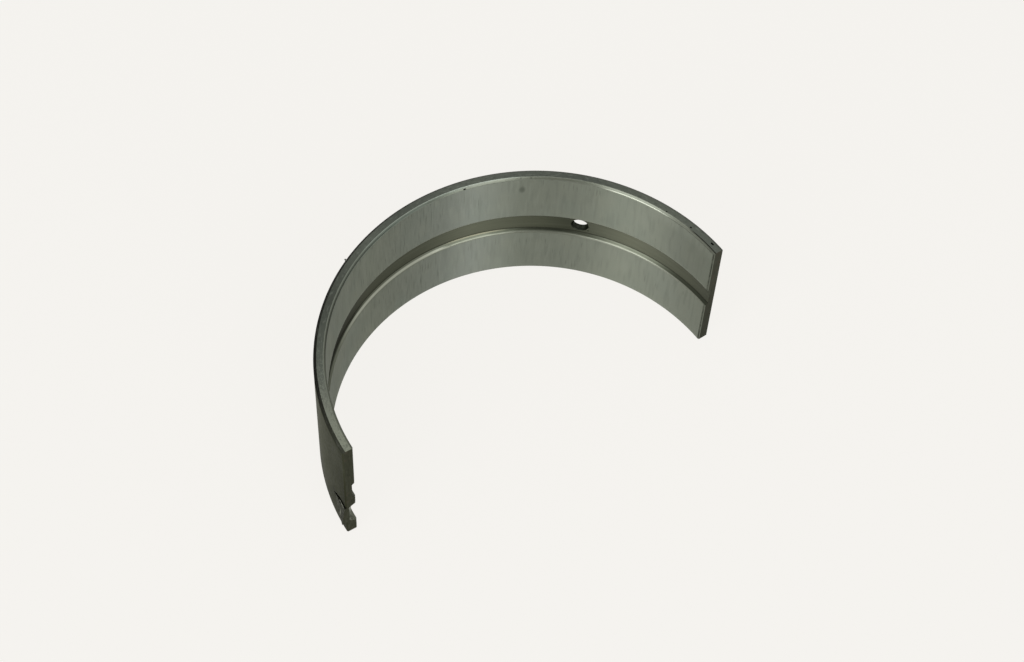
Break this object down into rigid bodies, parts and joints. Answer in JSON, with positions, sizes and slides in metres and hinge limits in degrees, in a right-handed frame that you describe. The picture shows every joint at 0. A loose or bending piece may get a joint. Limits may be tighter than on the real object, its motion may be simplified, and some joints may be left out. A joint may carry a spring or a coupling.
{
  "type": "engine bearing shell",
  "caption": "Grooved half shell of a plain main bearing: thin bent wall, oil groove round the bore, radial oil hole, and a pressed locating lug on the back at the joint.",
  "frame": {"origin": "on the bearing axis, at half the shell's width", "axes": "+Z along the bearing axis, +Y towards the crown of the shell, both joint faces towards -Y, the lug at the -X joint face"},
  "size_m": [0.0925, 0.0446, 0.033],
  "materials": {
    "bearing_metal": "satin, bored lining on a steel back"
  },
  "bodies": {
    "root": {"bearing_shell": "bearing_metal"}
  },
  "joints": []
}
